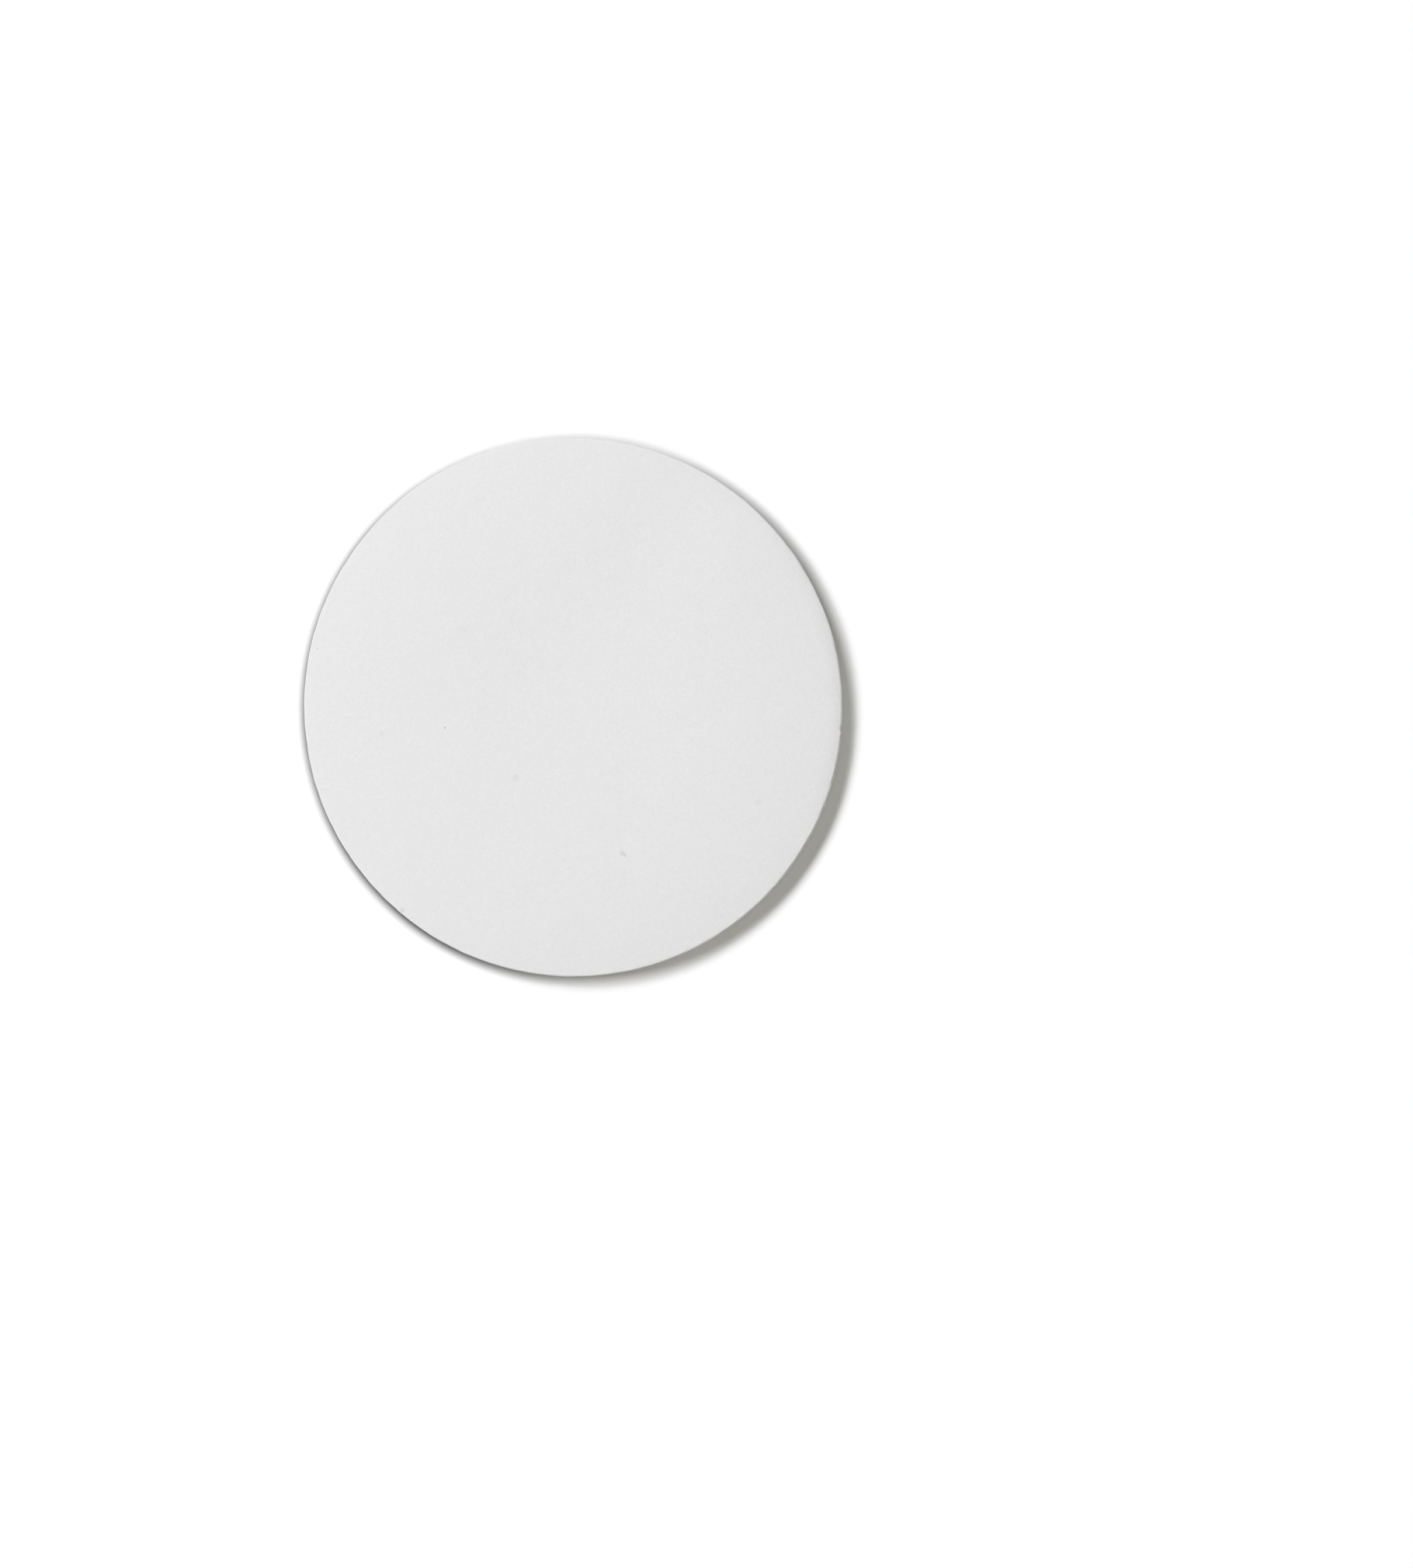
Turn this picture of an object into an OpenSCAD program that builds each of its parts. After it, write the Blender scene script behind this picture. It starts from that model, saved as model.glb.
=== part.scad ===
// Thick paper disc for filtering, die-cut from felted cellulose board.
// Origin: the middle of the disc, on the surface that it lies on. +Z is up, through both faces.
// One piece throughout: the cutting drags the rim down a little, so the board stays
// slightly domed, hollow underneath, and its upper edge is lightly rolled over.

/* [Disc] */
// Diameter across the cut rim
disc_d = 47; // [25:0.5:150]
// Thickness of the board
board_t = 1.4; // [0.8:0.1:3]

/* [Dome] */
// How far the middle stands above the rim
dome_rise = 0.45; // [0.1:0.05:0.8]
// How late the fall to the rim comes: 2 is a round dome, 6 is flat nearly to the edge
dome_power = 4; // [2:1:6]
// Width of the flat ring under the rim, which the disc rests on
foot_w = 1; // [0.5:0.1:3]

/* [Rim] */
// Width of the rolled upper edge, from the cut wall inwards
roll_w = 0.15; // [0.1:0.05:1]
// Height of the rolled upper edge
roll_h = 0.1; // [0.05:0.05:0.6]

/* [Nick] */
// Direction of the nick in the rim, in degrees from +X towards +Y
nick_at = -5; // [-180:1:180]
// Length of the nick along the rim
nick_l = 0.7; // [0.4:0.1:1.5]
// Depth of the nick at its middle
nick_d = 0.1; // [0.05:0.01:0.2]

/* [Pit] */
// Direction of the pit in the upper face, in degrees from +X towards +Y
pit_at = -71; // [-180:1:180]
// Distance of the pit's middle from the rim
pit_in = 10; // [2:0.5:12]
// Width of the pit
pit_w = 0.7; // [0.3:0.1:1.5]
// Depth of the pit at its middle
pit_d = 0.05; // [0.05:0.01:0.2]

/* [Hidden] */
$fn = 180;
paper_white = [0.92, 0.92, 0.915];
rim_r = disc_d / 2;
hollow_r = rim_r - foot_w;
// The rolled edge is a quarter of an ellipse. It begins where it is as steep as the face beside it.
roll_r = rim_r - roll_w;
edge_slope = dome_power * dome_rise / roll_r;
roll_from = atan(edge_slope * roll_w / roll_h);
face_r = roll_r + roll_w * sin(roll_from);
wall_h = board_t - roll_h * cos(roll_from);
// Rings in the upper face and in the hollow under it, and steps round the rolled edge
face_rings = 24;
hollow_rings = 16;
roll_steps = 6;
// How far a cutting shape runs past what it cuts
overrun = 0.5;

// Height of the upper face, and of the hollow under it, at a distance r from the middle
function face_z(r) = board_t + dome_rise * (1 - pow(r / face_r, dome_power));
function hollow_z(r) = dome_rise * (1 - pow(r / hollow_r, dome_power));

// Radius of the circle that an arc of this width and depth belongs to
function arc_r(width, depth) = (pow(width / 2, 2) + pow(depth, 2)) / (2 * depth);

// Half of the disc's section: over the face, round the edge, down the cut wall and back
// along the underside
function section() = concat(
    [for (i = [0:face_rings]) let (r = face_r * i / face_rings) [r, face_z(r)]],
    [for (i = [1:roll_steps]) let (a = roll_from + (90 - roll_from) * i / roll_steps)
        [roll_r + roll_w * sin(a), wall_h + roll_h * cos(a)]],
    [[rim_r, 0]],
    [for (i = [hollow_rings:-1:0]) let (r = hollow_r * i / hollow_rings) [r, hollow_z(r)]]
);

// The blank as it leaves the die
module blank() {
    rotate_extrude() polygon(section());
}

// A shallow scoop out of the rim, all the way down the cut wall
module nick() {
    scoop_r = arc_r(nick_l, nick_d);
    rotate(nick_at)
        translate([rim_r - nick_d + scoop_r, 0, -overrun])
            cylinder(r = scoop_r, h = board_t + 2 * overrun);
}

// A small round dent in the upper face
module pit() {
    ball_r = arc_r(pit_w, pit_d);
    from_middle = rim_r - pit_in;
    rotate(pit_at)
        translate([from_middle, 0, face_z(from_middle) - pit_d + ball_r])
            sphere(r = ball_r);
}

module filter_disc() {
    color(paper_white)
        difference() {
            blank();
            nick();
            pit();
        }
}

filter_disc();
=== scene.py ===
import math

import bpy
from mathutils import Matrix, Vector


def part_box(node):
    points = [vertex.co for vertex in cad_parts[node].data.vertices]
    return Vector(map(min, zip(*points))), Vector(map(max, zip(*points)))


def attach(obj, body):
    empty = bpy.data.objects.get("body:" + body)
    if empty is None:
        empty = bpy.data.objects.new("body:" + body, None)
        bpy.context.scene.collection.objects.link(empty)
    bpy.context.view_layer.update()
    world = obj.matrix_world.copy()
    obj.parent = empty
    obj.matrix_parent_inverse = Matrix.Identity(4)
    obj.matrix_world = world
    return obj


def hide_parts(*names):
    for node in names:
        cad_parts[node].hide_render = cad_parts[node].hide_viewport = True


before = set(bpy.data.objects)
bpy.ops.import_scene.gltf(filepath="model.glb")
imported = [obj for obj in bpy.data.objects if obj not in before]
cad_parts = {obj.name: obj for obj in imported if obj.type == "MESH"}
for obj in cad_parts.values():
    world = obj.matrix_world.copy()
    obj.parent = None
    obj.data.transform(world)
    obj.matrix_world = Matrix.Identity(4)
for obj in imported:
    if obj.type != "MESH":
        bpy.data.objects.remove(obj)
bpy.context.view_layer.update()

# Trees and materials are worked in millimetres, and meshes are in metres.
MM = 0.001

# ---- The disc's sizes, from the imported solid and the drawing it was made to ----
low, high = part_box("filter_disc")
DISC_D = (high.x - low.x) / MM
RIM_R = DISC_D / 2
CROWN_H = high.z / MM
DOME_RISE = 0.45
DOME_POWER = 4.0
BOARD_T = CROWN_H - DOME_RISE
FOOT_W = 1.0
ROLL_W = 0.15
ROLL_H = 0.1
WALL_H = BOARD_T - ROLL_H
NICK_AT, NICK_L, NICK_D = -5.0, 0.7, 0.1
PIT_AT, PIT_IN, PIT_W, PIT_D = -71.0, 10.0, 0.7, 0.05
# The finished piece shows this share of the solid's nick and pit, and its nick this many degrees
# further round
NICK_LEFT, PIT_LEFT = 0.7, 0.6
NICK_TURN = 0.3
# Stretches of the rim: within how many degrees of their direction they are whole, and where gone
WIDE_ROLL_SPAN = (26.0, 44.0)
WORN_SPAN = (26.0, 52.0)

# ---- Framing: shares of the frame's height, and the lens ----
DISC_SHARE = 0.3434
LEFT_OF_MIDDLE = 0.0849
ABOVE_MIDDLE = 0.0489
LENS, SENSOR = 35.0, 36.0
LENS_SHIFT = (-0.12, 0.09)

# ---- Light: what a level white sheet sends back comes from the lamp, the reflector and the room ----
LAMP_SHARE, REFLECTOR_SHARE, ROOM_SHARE = 0.705, 0.012, 0.255
LAMP_AZIMUTH, LAMP_ELEVATION, LAMP_ANGLE = 150.0, 40.4, 18.0
LAMP_SPREAD = (-22.0, 0.0, 22.0)
LAMP_COOL = (0.952, 0.954, 1.0)
REFLECTOR_AZIMUTH, REFLECTOR_ELEVATION, REFLECTOR_ANGLE = -45.0, 6.0, 20.0
ROOM_WARM = (1.0, 0.985, 0.87)
FLOOR_LIFT = 0.04
# The soft painted shade on the floor at the foot of the disc on its lit side, drawn by position and
# not cast by a lamp: the direction of its middle, and how many degrees from there it is whole and
# gone; the direction of its darkest place, and how many degrees from there it is darkest and
# faintest; how dark these are; how far out it reaches, how soft it is, and its lean
SHADE_MIDDLE, SHADE_WHOLE, SHADE_GONE = 148.0, 111.0, 152.0
SHADE_AT, SHADE_DARKEST, SHADE_FAINTEST = -170.0, 40.0, 90.0
SHADE_LEAST, SHADE_MOST = 0.45, 0.98
SHADE_REACH, SHADE_SOFT, SHADE_LEAN = 0.57, 1.29, (-0.14, 0.08, 0.0)
FLOOR_DROP = 0.005
FLOOR_REACH = 1500.0


# ---- A bench for wiring node trees ----
class Wire:
    """One output of a node. Arithmetic on wires adds the maths node that does it."""

    def __init__(self, tree, socket):
        self.tree = tree
        self.socket = socket
        self.is_vector = socket.type == "VECTOR"

    def __add__(self, other):
        return self.tree.maths("ADD", self, other)

    def __radd__(self, other):
        return self.tree.maths("ADD", other, self)

    def __sub__(self, other):
        return self.tree.maths("SUBTRACT", self, other)

    def __rsub__(self, other):
        return self.tree.maths("SUBTRACT", other, self)

    def __mul__(self, other):
        return self.tree.maths("MULTIPLY", self, other)

    def __rmul__(self, other):
        return self.tree.maths("MULTIPLY", other, self)

    def __truediv__(self, other):
        return self.tree.maths("DIVIDE", self, other)

    def __rtruediv__(self, other):
        return self.tree.maths("DIVIDE", other, self)

    def __pow__(self, other):
        return self.tree.maths("POWER", self, other)

    def __lt__(self, other):
        return self.tree.maths("LESS_THAN", self, other)

    def __gt__(self, other):
        return self.tree.maths("GREATER_THAN", self, other)


class Tree:
    """A node tree that is being wired. Every node goes in through add()."""

    def __init__(self, nodes):
        self.nodes = nodes

    def add(self, kind, settings=None, links=None, out=0):
        """A node of a kind with its settings and sockets, as the wire from one of its outputs."""
        node = self.nodes.nodes.new(kind)
        for name, value in (settings or {}).items():
            setattr(node, name, value)
        for key, value in (links or {}).items():
            if isinstance(value, Wire):
                self.nodes.links.new(value.socket, node.inputs[key])
            else:
                node.inputs[key].default_value = value
        return Wire(self, node.outputs[out]) if len(node.outputs) else None

    def sister(self, wire, out):
        """Another output of the node that a wire comes from."""
        return Wire(self, wire.socket.node.outputs[out])

    def maths(self, operation, *values):
        """Vector Math where a vector takes part, and Math otherwise."""
        vectors = [isinstance(v, tuple) or getattr(v, "is_vector", False) for v in values]
        kind = "ShaderNodeVectorMath" if any(vectors) else "ShaderNodeMath"
        if operation == "MULTIPLY" and any(vectors) and not all(vectors):
            vector, factor = values if vectors[0] else reversed(values)
            return self.add(kind, {"operation": "SCALE"}, {0: vector, 3: factor})
        return self.add(kind, {"operation": operation}, dict(enumerate(values)))

    def dot(self, a, b):
        return self.add("ShaderNodeVectorMath", {"operation": "DOT_PRODUCT"}, {0: a, 1: b}, out=1)

    def length(self, vector):
        return self.add("ShaderNodeVectorMath", {"operation": "LENGTH"}, {0: vector}, out=1)

    def vector(self, x=0.0, y=0.0, z=0.0):
        return self.add("ShaderNodeCombineXYZ", links={0: x, 1: y, 2: z})

    def parts(self, vector):
        x = self.add("ShaderNodeSeparateXYZ", links={0: vector})
        return x, self.sister(x, 1), self.sister(x, 2)

    def mix(self, share, a, b):
        """The number a where share is 0, and b where it is 1."""
        return self.add("ShaderNodeMix", {"data_type": "FLOAT"}, {0: share, 2: a, 3: b})

    def blend(self, share, a, b):
        """The colour a where share is 0, and b where it is 1."""
        ends = [c if isinstance(c, Wire) else (*c, 1.0) for c in (a, b)]
        return self.add("ShaderNodeMix", {"data_type": "RGBA"}, {0: share, 6: ends[0], 7: ends[1]}, out=2)

    def between(self, value, start, end, shape="LINEAR"):
        """0 at start, 1 at end, and held there beyond them."""
        links = {"Value": value, "From Min": start, "From Max": end}
        return self.add("ShaderNodeMapRange", {"interpolation_type": shape}, links)

    def ease(self, value, start, end):
        return self.between(value, start, end, "SMOOTHSTEP")

    def noise(self, at, detail=2.0, roughness=0.5, twist=0.0):
        """Soft noise about zero with features one unit across, mostly within a quarter."""
        links = {"Vector": at, "Scale": 1.0, "Detail": detail, "Roughness": roughness,
                 "Distortion": twist}
        return self.add("ShaderNodeTexNoise", {"noise_dimensions": "3D"}, links) - 0.5


def facing(tree, way, direction, whole, gone):
    """1 where a way out from the middle is within whole degrees of a direction, 0 past gone degrees."""
    start, end = math.cos(math.radians(gone)), math.cos(math.radians(whole))
    return tree.ease(tree.dot(way, direction), start, end)


def geometry_tree(name, sizes):
    """A Geometry Nodes tree with one named input for each size, and those inputs as wires."""
    nodes = bpy.data.node_groups.new(name, "GeometryNodeTree")
    kinds = {int: "NodeSocketInt", float: "NodeSocketFloat", bpy.types.Material: "NodeSocketMaterial"}
    for label, value in sizes.items():
        nodes.interface.new_socket(label, in_out="INPUT", socket_type=kinds[type(value)])
    nodes.interface.new_socket("Geometry", in_out="OUTPUT", socket_type="NodeSocketGeometry")
    tree = Tree(nodes)
    first = tree.add("NodeGroupInput")
    return tree, {label: tree.sister(first, label) for label in sizes}


def close_tree(tree, geometry, material):
    """Ends a tree as real geometry with its material set."""
    real = tree.add("GeometryNodeRealizeInstances", links={0: geometry})
    finished = tree.add("GeometryNodeSetMaterial", links={"Geometry": real, "Material": material})
    tree.add("NodeGroupOutput", links={0: finished})


def make_from_tree(name, tree, sizes):
    """Runs a tree once with these sizes and keeps the result as a plain mesh."""
    piece = bpy.data.objects.new(name, bpy.data.meshes.new(name))
    bpy.context.scene.collection.objects.link(piece)
    maker = piece.modifiers.new("Make", "NODES")
    maker.node_group = tree.nodes
    for item in tree.nodes.interface.items_tree:
        if item.in_out == "INPUT":
            maker[item.identifier] = sizes[item.name]
    evaluated = piece.evaluated_get(bpy.context.evaluated_depsgraph_get())
    mesh = bpy.data.meshes.new_from_object(evaluated)
    piece.modifiers.remove(maker)
    piece.data = mesh
    return piece


# ---- Finishes ----
PAPER = (0.812, 0.813, 0.812)
SPECK = (0.42, 0.415, 0.41)
FLOOR_PALE = (0.86, 0.86, 0.86)
WHITE = (1.0, 1.0, 1.0)
MATTE, GLOSS = 0.92, 0.25
# The paper's fibres in the faces, the layers in its cut wall, and the relief that each has
FIBRE_L, FIBRE_W, FIBRE_RELIEF = 0.5, 0.13, 0.005
LAYER_L, LAYER_T, LAYER_RELIEF = 0.77, 0.083, 0.06
# The fibres lie in this many directions, the first of them turned by this many degrees from +X
FIBRE_WAYS, FIBRE_TURN = 4, 11
# Clouds of denser and thinner fibre in each millimetre
CLOUDS_PER_MM = 0.45
# How much the tone changes with fibres, layers and clouds, and toward the rim and over the cut wall
FIBRE_TONE, LAYER_TONE, CLOUD_TONE, RIM_TONE, CUT_TONE = 0.06, 0.12, 0.014, 0.01, 0.09
# Faint spots in the upper face: across, up, radius and how much darker they are; a negative amount makes
# a spot lighter
SPOTS = [
    (5.7, 15.9, 0.42, 0.028),
    (-9.4, 6.7, 0.42, 0.025),
    (-4.9, -6.2, 0.46, 0.070),
    (16.2, -8.3, 0.38, 0.046),
    (-1.0, 3.5, 0.35, 0.025),
    (-16.6, -2.4, 0.40, 0.054),
    (3.9, -5.3, 0.35, 0.028),
    # The next three are painted shade in the pit, which also hides the light that its dent's lower right
    # side catches
    (4.30, -12.70, 0.28, 0.075),
    (4.47, -12.83, 0.31, 0.110),
    (4.62, -12.95, 0.27, 0.090),
    # The next two are painted highlights beside the pit, on its upper right
    (4.9, -11.5, 0.42, -0.024),
    (5.5, -12.1, 0.30, -0.024),
    (-14.9, -17.7, 0.35, 0.100),
    (-22.3, 5.1, 0.12, 0.220),
    (23.35, -2.2, 0.25, -0.070),
]
SPECK_AT, SPECK_R = (-11.07, -1.85), 0.11


def new_material(name):
    """An empty material, and its tree ready to be wired."""
    material = bpy.data.materials.new(name)
    material.use_nodes = True
    material.node_tree.nodes.clear()
    return material, Tree(material.node_tree)


def seen_by_lens(tree):
    """1 for what the lens sees, straight or by gloss or glass, and 0 for what only gives light."""
    straight = tree.add("ShaderNodeLightPath", out="Is Camera Ray")
    glossy = tree.sister(straight, "Is Glossy Ray")
    through = tree.sister(straight, "Is Transmission Ray")
    return tree.maths("MAXIMUM", straight, tree.maths("MAXIMUM", glossy, through))


def crossed_fibres(tree, at, length, thickness):
    """Short fibres about zero that lie in several directions, added up."""
    felt = 0.0
    for turn in range(FIBRE_WAYS):
        angle = math.radians(FIBRE_TURN + 180 / FIBRE_WAYS * turn)
        links = {"Vector": at, "Rotation": (0.0, 0.0, angle), "Location": (3.7 * turn, -1.9 * turn, 0.0)}
        turned = tree.add("ShaderNodeMapping", {"vector_type": "POINT"}, links)
        drawn_out = turned * (1 / length, 1 / thickness, 1.0)
        felt = tree.noise(drawn_out, detail=1.0, twist=0.6) + felt
    return felt


def spot(tree, place, across, up, radius):
    """1 in the middle of a round mark on the upper face, fading to 0 at its radius."""
    away = tree.length(place - (across, up, 0.0))
    return tree.ease(away, radius, radius * 0.2)


def paper_material():
    """Matte felted cellulose: crossed fibres on the faces, thin layers where the die cut it."""
    material, tree = new_material("felted_filter_paper")
    at = tree.add("ShaderNodeTexCoord", out="Object") * (1 / MM)
    place = at * (1.0, 1.0, 0.0)
    from_middle = tree.length(place)
    cut = tree.ease(from_middle, RIM_R - 2 * ROLL_W, RIM_R - 0.7 * ROLL_W)
    wall = tree.ease(from_middle, RIM_R - ROLL_W, RIM_R - 0.2 * ROLL_W)
    upper = tree.ease(tree.parts(at)[2], BOARD_T * 0.6, BOARD_T * 0.8)

    fibres = crossed_fibres(tree, place, FIBRE_L, FIBRE_W)
    clouds = tree.noise(at * CLOUDS_PER_MM, detail=3.0)
    layers = tree.noise(at / (LAYER_L, LAYER_L, LAYER_T), detail=3.0, roughness=0.6)
    height = tree.mix(cut, fibres * FIBRE_RELIEF, layers * LAYER_RELIEF)
    bump = tree.add("ShaderNodeBump", links={"Strength": 1.0, "Distance": MM, "Height": height})

    tone = 1.0 + clouds * CLOUD_TONE - (from_middle / RIM_R) ** 4.0 * RIM_TONE
    tone = tone + tree.mix(cut, fibres * FIBRE_TONE, layers * LAYER_TONE) - wall * CUT_TONE
    # Spots darken or lighten the tone; among them are painted shade and painted highlights at the pit
    for across, up, radius, darker in SPOTS:
        tone = tone - spot(tree, place, across, up, radius) * upper * darker
    paper = tree.add("ShaderNodeVectorMath", {"operation": "SCALE"}, {0: PAPER, 3: tone})
    speck = spot(tree, place, *SPECK_AT, SPECK_R) * upper
    colour = tree.blend(speck, paper, SPECK)
    face = tree.add("ShaderNodeBsdfPrincipled", links={
        "Base Color": colour, "Roughness": MATTE, "Specular IOR Level": GLOSS, "Normal": bump})
    tree.add("ShaderNodeOutputMaterial", links={"Surface": face})
    return material


def painted_shade_at_foot(tree):
    """Painted shade on the floor beside the disc's lit side, 0 to 1, drawn by position and not cast by a
    lamp.
    """
    place = tree.add("ShaderNodeTexCoord", out="Object") * (1 / MM, 1 / MM, 0.0)
    beyond = tree.length(place - SHADE_LEAN) - RIM_R - SHADE_REACH
    way = place / tree.length(place)
    lit_side = facing(tree, way, tuple(toward(SHADE_MIDDLE, 0.0)), SHADE_WHOLE, SHADE_GONE)
    darkest = facing(tree, way, tuple(toward(SHADE_AT, 0.0)), SHADE_DARKEST, SHADE_FAINTEST)
    dark = tree.mix(darkest, SHADE_LEAST, SHADE_MOST)
    return tree.ease(beyond, SHADE_SOFT / 2, -SHADE_SOFT / 2) * lit_side * dark


def floor_material():
    """Pale matte floor. The lens sees it white where it is lit, with the shadow kept and a painted shade
    added at the disc's foot on its lit side.
    """
    material, tree = new_material("pale_floor")
    pale = tree.add("ShaderNodeBsdfDiffuse", links={"Color": (*FLOOR_PALE, 1.0)})
    white = tree.add("ShaderNodeBsdfDiffuse", links={"Color": (*WHITE, 1.0)})
    lift = tree.add("ShaderNodeEmission", links={"Strength": FLOOR_LIFT})
    lifted = tree.add("ShaderNodeAddShader", links={0: white, 1: lift})
    dark = tree.add("ShaderNodeBsdfDiffuse", links={"Color": (0.0, 0.0, 0.0, 1.0)})
    # Painted shade: as the lens sees it, the floor is mixed toward black by position near the disc's foot
    shaded = tree.add("ShaderNodeMixShader", links={0: painted_shade_at_foot(tree), 1: lifted, 2: dark})
    floor = tree.add("ShaderNodeMixShader", links={0: seen_by_lens(tree), 1: pale, 2: shaded})
    tree.add("ShaderNodeOutputMaterial", links={"Surface": floor})
    return material


# ---- The disc ----
def way_out(tree, x, y):
    """Makes the block's square rings round: the way from the middle, and how far out, 0 to 1."""
    wide, deep = tree.maths("ABSOLUTE", x), tree.maths("ABSOLUTE", y)
    steep = wide < deep
    turn = tree.mix(steep, y / x, x / y) * (math.pi / 4)
    ahead, aside = tree.maths("COSINE", turn), tree.maths("SINE", turn)
    sign_x, sign_y = tree.maths("SIGN", x), tree.maths("SIGN", y)
    way = tree.vector(tree.mix(steep, ahead * sign_x, aside * sign_y),
                      tree.mix(steep, aside * sign_x, ahead * sign_y))
    return way, tree.maths("MAXIMUM", wide, deep)


def heading(tree, degrees):
    """The unit vector in a direction, and the one at its left."""
    angle = tree.maths("RADIANS", degrees)
    ahead, aside = tree.maths("COSINE", angle), tree.maths("SINE", angle)
    return tree.vector(ahead, aside), tree.vector(aside * -1.0, ahead)


def board_tree(sizes):
    """A block of fine cells bent into the disc. Its top becomes the domed face and the rolled
    edge, its sides the cut wall, and its underside the hollow and the ring the disc lies on."""
    tree, size = geometry_tree("Die-cut board", sizes)
    cells = size["Cells across"]
    block = tree.add("GeometryNodeMeshCube", links={
        "Size": (2.0, 2.0, 2.0), "Vertices X": cells + 1.0, "Vertices Y": cells + 1.0,
        "Vertices Z": size["Cells up the wall"] + 1.0})
    x, y, z = tree.parts(tree.add("GeometryNodeInputPosition"))
    way, out = way_out(tree, x, y)
    on_top, on_base = z > 0.999, z < -0.999

    rim_r = size["Diameter"] / 2.0
    wide_way = heading(tree, size["Widest roll direction"])[0]
    widening = facing(tree, way, wide_way, *WIDE_ROLL_SPAN) * size["Roll widening"]
    roll_w, roll_h = size["Roll width"] * (1.0 + widening), size["Roll height"]
    roll_r = rim_r - roll_w
    edge_slope = size["Dome power"] * size["Dome rise"] / roll_r
    roll_from = tree.maths("ARCTANGENT", edge_slope * roll_w / roll_h)
    first_sine, first_cosine = tree.maths("SINE", roll_from), tree.maths("COSINE", roll_from)
    wall_h = size["Board thickness"] - roll_h * first_cosine

    # The upper face out to where the edge rolls over, then the quarter turn of the roll
    face_share = 1.0 - size["Rings in the roll"] * 2.0 / cells
    on_face = tree.between(out, 0.0, face_share)
    roll = tree.mix(tree.between(out, face_share, 1.0), roll_from, math.pi / 2)
    sine, cosine = tree.maths("SINE", roll), tree.maths("COSINE", roll)
    top_r = (roll_r + roll_w * first_sine) * on_face + roll_w * (sine - first_sine)
    dome = size["Dome rise"] * (1.0 - on_face ** size["Dome power"])
    top_z = size["Board thickness"] + dome + roll_h * (cosine - first_cosine)

    # The hollow underneath, then the flat ring
    foot_share = 1.0 - size["Rings in the foot"] * 2.0 / cells
    in_hollow = tree.between(out, 0.0, foot_share)
    on_foot = tree.between(out, foot_share, 1.0)
    base_r = (rim_r - size["Foot width"]) * in_hollow + size["Foot width"] * on_foot
    base_z = size["Dome rise"] * (1.0 - in_hollow ** size["Dome power"])

    wall_z = wall_h * tree.between(z, -1.0, 1.0)
    r = tree.mix(on_top, tree.mix(on_base, rim_r, base_r), top_r)
    h = tree.mix(on_top, tree.mix(on_base, wall_z, base_z), top_z)
    side = tree.mix(on_top, 1.0 - on_base, sine)
    lift = tree.mix(on_top, on_base * -1.0, cosine)

    # The paper's own unevenness: slow waves, clouds of fibre, and torn layers on the cut wall
    seed = tree.vector(size["Seed"], size["Seed"], size["Seed"])
    place = way * r + tree.vector(0.0, 0.0, h) + seed
    waves = tree.noise(place * (1.0 / size["Wave length"])) * size["Wave height"]
    clouds = tree.noise(place * (1.0 / size["Cloud length"]), detail=3.0) * size["Cloud height"]
    layer_l, layer_t = 1.0 / size["Layer length"], 1.0 / size["Layer thickness"]
    layers = tree.noise(place * tree.vector(layer_l, layer_l, layer_t), detail=3.0) * size["Layer height"]
    cut = tree.ease(side, 0.5, 1.0)
    free = tree.mix(on_base, 1.0, tree.ease(base_z, 0.0, size["Free height"]))
    relief = tree.mix(cut, (waves + clouds) * free, layers)

    # The outline wavers, and is slightly oval, as board gets when it shrinks across its grain
    waver = tree.noise(way * size["Wavers round"] + seed, detail=3.0) * size["Rim waver"]
    grain_way, grain_side = heading(tree, size["Grain direction"])
    oval = (tree.dot(way, grain_way) ** 2.0 - tree.dot(way, grain_side) ** 2.0) * size["Oval"]
    outline = waver * tree.ease(out, size["Waver start"], 1.0) + oval * (r / rim_r)

    # A shallow bend across the board, which starts inside the rim and fades toward it
    bend_across, bend_along = heading(tree, size["Bend direction"])
    across = (tree.dot(way * r, bend_across) - size["Bend place"]) / size["Bend width"]
    started = tree.ease(tree.dot(way * r, bend_along), size["Bend start"], size["Bend whole"])
    ended = tree.ease(out, 1.0, size["Bend end"])
    bend = tree.maths("EXPONENT", across * across * -1.0) * started * ended
    bend = bend * size["Bend depth"] * free

    # A stretch of the rim where the upper edge is worn lower
    worn_way = heading(tree, size["Worn direction"])[0]
    inward = tree.between(r, rim_r - size["Worn width"], rim_r)
    worn = inward ** 3.0 * facing(tree, way, worn_way, *WORN_SPAN) * size["Worn depth"]
    worn = worn * tree.between(h, 0.0, wall_h)

    # The nick in the rim, with a crumb of paper left standing at its end
    nick_way, nick_side = heading(tree, size["Nick direction"])
    along = tree.dot(way, nick_side) * rim_r
    near = (tree.dot(way, nick_way) > 0.0) * tree.between(r, rim_r - size["Nick reach"], rim_r)
    scoop = tree.maths("MAXIMUM", 1.0 - (along * 2.0 / size["Nick length"]) ** 2.0, 0.0)
    crumb_at = tree.maths("ABSOLUTE", along + size["Nick length"] * 0.5)
    crumb = tree.ease(crumb_at, size["Nick length"] * 0.4, 0.0) * tree.ease(h, wall_h * 0.5, wall_h)
    nicked = near * (crumb * size["Crumb height"] - scoop * size["Nick depth"])

    # The pit in the upper face
    pit_way = heading(tree, size["Pit direction"])[0]
    from_pit = tree.length(way * r - pit_way * (rim_r - size["Pit inset"]))
    pit = tree.ease(from_pit, size["Pit width"] * 0.6, 0.0) * size["Pit depth"] * on_top

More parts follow.
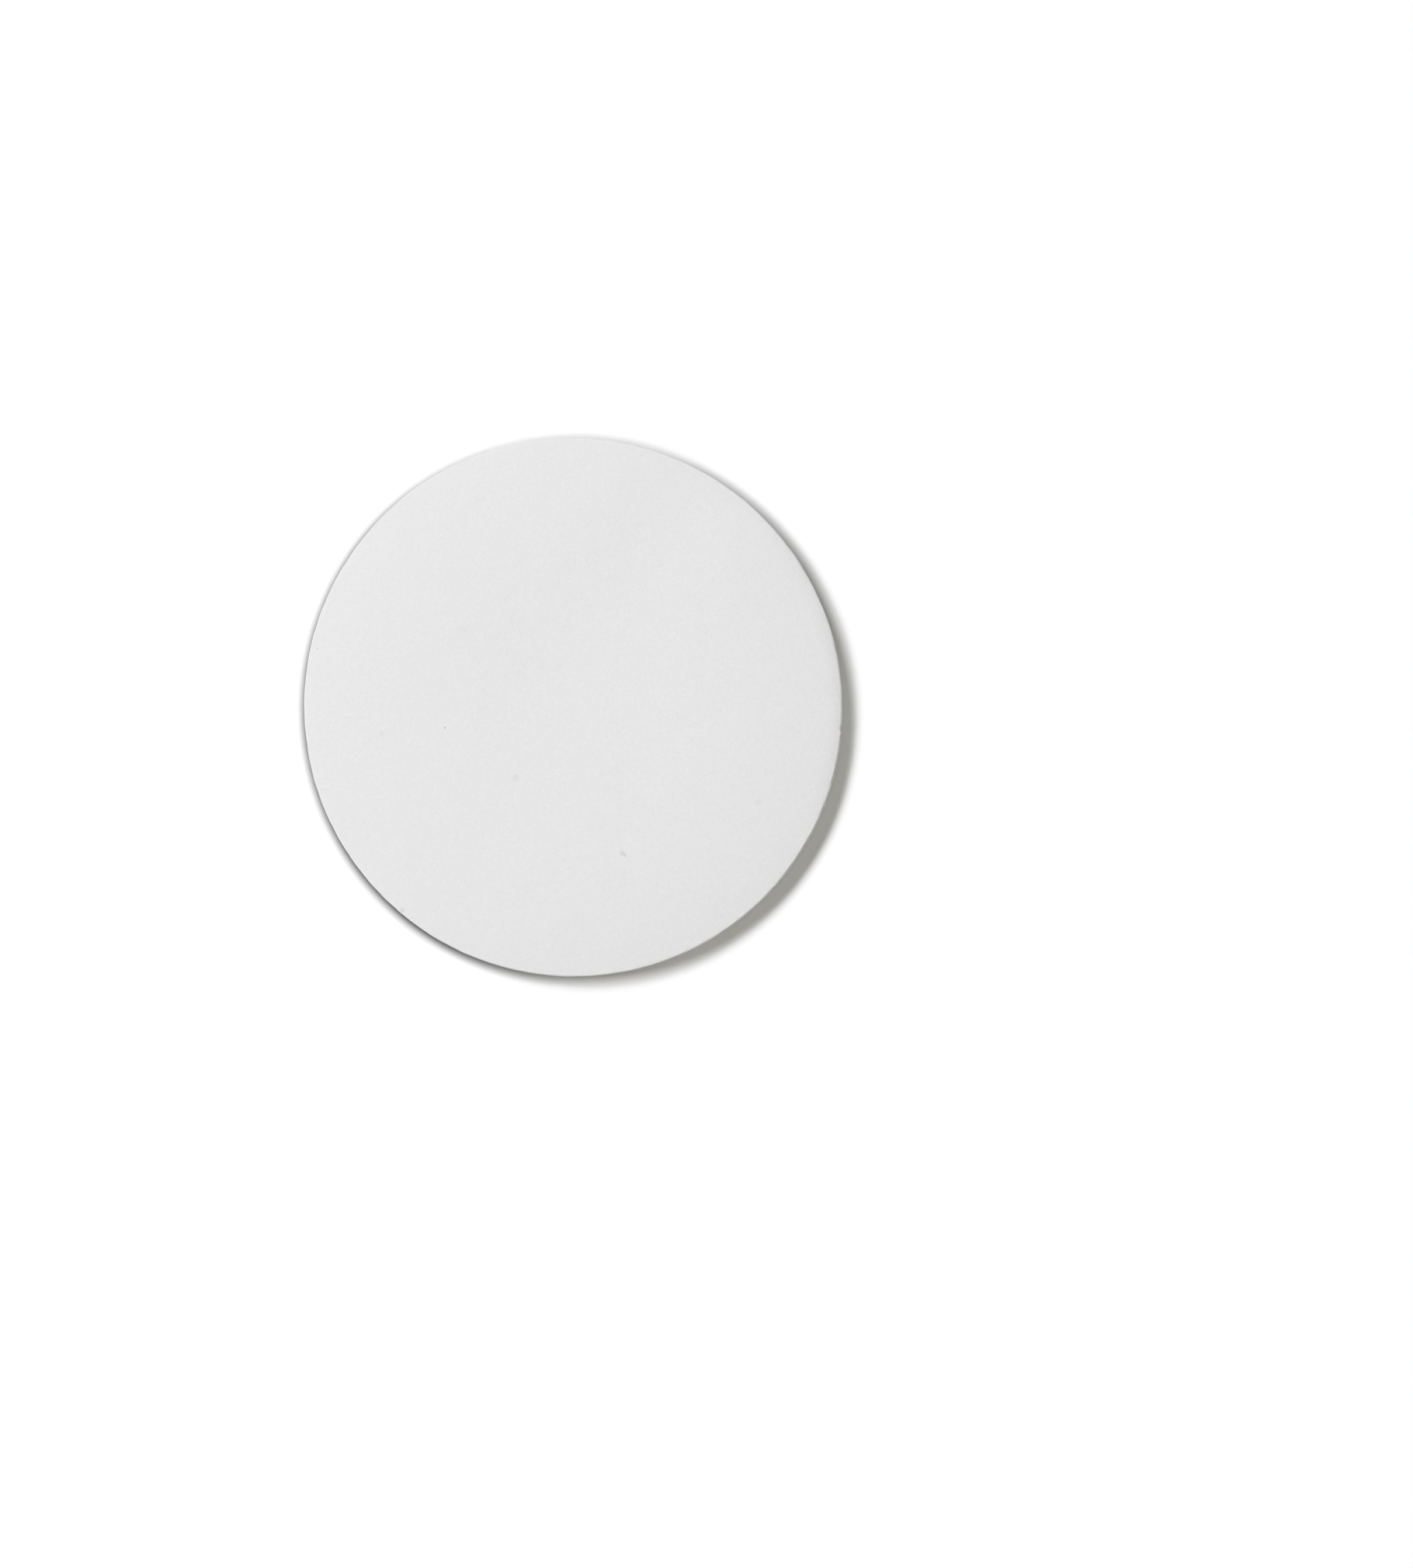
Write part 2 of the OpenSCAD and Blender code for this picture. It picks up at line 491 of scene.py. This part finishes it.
    swell = way * (side * relief + outline + nicked)
    rise = tree.vector(0.0, 0.0, lift * relief - pit - bend - worn)
    formed = (way * r + tree.vector(0.0, 0.0, h) + swell + rise) * MM
    disc = tree.add("GeometryNodeSetPosition", links={"Geometry": block, "Position": formed})
    smooth = tree.add("GeometryNodeSetShadeSmooth", links={0: disc})
    close_tree(tree, smooth, size["Paper"])
    return tree


def filter_disc(paper):
    """The disc itself, in millimetres and degrees from +X. It rides still and stands for the solid."""
    sizes = {
        "Cells across": 208, "Cells up the wall": 12, "Rings in the roll": 8,
        "Rings in the foot": 6, "Diameter": DISC_D, "Board thickness": BOARD_T,
        "Dome rise": DOME_RISE, "Dome power": DOME_POWER, "Foot width": FOOT_W, "Free height": 0.15,
        "Roll width": ROLL_W, "Roll height": ROLL_H,
        "Widest roll direction": -3.0, "Roll widening": 0.9,
        "Nick direction": NICK_AT + NICK_TURN, "Nick length": NICK_L,
        "Nick depth": NICK_D * NICK_LEFT, "Nick reach": 0.45, "Crumb height": 0.09,
        "Pit direction": PIT_AT, "Pit inset": PIT_IN, "Pit width": PIT_W,
        "Pit depth": PIT_D * PIT_LEFT,
        "Wave length": 19.0, "Wave height": 0.12, "Cloud length": 2.6, "Cloud height": 0.02,
        "Layer length": 1.6, "Layer thickness": 0.16, "Layer height": 0.10,
        "Wavers round": 2.3, "Rim waver": 0.12, "Waver start": 0.8,
        "Grain direction": -45.0, "Oval": 0.05,
        "Bend direction": -42.0, "Bend place": -4.0, "Bend width": 5.2, "Bend depth": 0.07,
        "Bend start": -12.0, "Bend whole": 4.0, "Bend end": 0.86,
        "Worn direction": 20.0, "Worn width": 1.6, "Worn depth": 0.09,
        "Seed": 7.0, "Paper": paper,
    }
    disc = make_from_tree("die_cut_disc", board_tree(sizes), sizes)
    disc.data.set_sharp_from_angle(angle=math.radians(50))
    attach(disc, "root")
    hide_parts("filter_disc")
    return disc


# ---- Floor, light and camera ----
def pale_floor():
    """A plain floor, just under the disc so that the two faces don't fight."""
    reach, drop = FLOOR_REACH * MM, FLOOR_DROP * MM
    round_about = [(-1, -1), (1, -1), (1, 1), (-1, 1)]
    corners = [(x * reach, y * reach, -drop) for x, y in round_about]
    mesh = bpy.data.meshes.new("floor")
    mesh.from_pydata(corners, [], [(0, 1, 2, 3)])
    mesh.materials.append(floor_material())
    floor = bpy.data.objects.new("floor", mesh)
    bpy.context.scene.collection.objects.link(floor)


def toward(azimuth, elevation):
    """Unit vector to something at this azimuth from +X and this height above the floor."""
    a, e = math.radians(azimuth), math.radians(elevation)
    return Vector((math.cos(e) * math.cos(a), math.cos(e) * math.sin(a), math.sin(e)))


def hang(light, azimuth, elevation):
    """Puts a far light up in a direction, shining back at the disc."""
    holder = bpy.data.objects.new(light.name, light)
    holder.rotation_euler = toward(azimuth, elevation).to_track_quat("Z", "Y").to_euler()
    bpy.context.scene.collection.objects.link(holder)


def broad_lamp():
    """A lamp from the upper left, a little cool, and broad from side to side."""
    lamp = bpy.data.lights.new("broad_lamp", "SUN")
    whole = LAMP_SHARE * math.pi / math.sin(math.radians(LAMP_ELEVATION)) / LAMP_COOL[0]
    lamp.energy = whole / len(LAMP_SPREAD)
    lamp.angle = math.radians(LAMP_ANGLE)
    lamp.color = LAMP_COOL
    for aside in LAMP_SPREAD:
        hang(lamp, LAMP_AZIMUTH + aside, LAMP_ELEVATION)


def low_reflector():
    """A pale reflector low down at the lower right, which sends light back at the cut wall."""
    reflector = bpy.data.lights.new("low_reflector", "SUN")
    reflector.energy = REFLECTOR_SHARE * math.pi / math.sin(math.radians(REFLECTOR_ELEVATION))
    reflector.angle = math.radians(REFLECTOR_ANGLE)
    reflector.color = ROOM_WARM
    hang(reflector, REFLECTOR_AZIMUTH, REFLECTOR_ELEVATION)


def white_room():
    """An even room that fills the shadows, a little warm. The lens sees it plain white."""
    room = bpy.data.worlds.new("white_room")
    room.use_nodes = True
    room.node_tree.nodes.clear()
    tree = Tree(room.node_tree)
    fill = tree.add("ShaderNodeBackground", links={"Color": (*ROOM_WARM, 1.0), "Strength": ROOM_SHARE})
    white = tree.add("ShaderNodeBackground", links={"Color": (*WHITE, 1.0), "Strength": 1.0})
    both = tree.add("ShaderNodeMixShader", links={0: seen_by_lens(tree), 1: fill, 2: white})
    tree.add("ShaderNodeOutputWorld", links={"Surface": both})
    bpy.context.scene.world = room


def camera():
    """Looks straight down from the lower right of the disc, so that its outline stays round
    and its cut wall shows there. The disc lies up and left of the frame's middle."""
    lens = bpy.data.cameras.new("camera")
    lens.lens, lens.sensor_width = LENS, SENSOR
    lens.shift_x, lens.shift_y = LENS_SHIFT
    lens.clip_start = 1 * MM
    distance = DISC_D * LENS / SENSOR / DISC_SHARE
    frame_h = distance * SENSOR / LENS
    right = (LEFT_OF_MIDDLE - LENS_SHIFT[0]) * frame_h
    down = (ABOVE_MIDDLE + LENS_SHIFT[1]) * frame_h
    holder = bpy.data.objects.new("camera", lens)
    holder.location = Vector((right, -down, WALL_H + distance)) * MM
    bpy.context.scene.collection.objects.link(holder)
    bpy.context.scene.camera = holder


paper = paper_material()
filter_disc(paper)
pale_floor()
broad_lamp()
low_reflector()
white_room()
camera()

bpy.context.scene.view_settings.view_transform = "Standard"
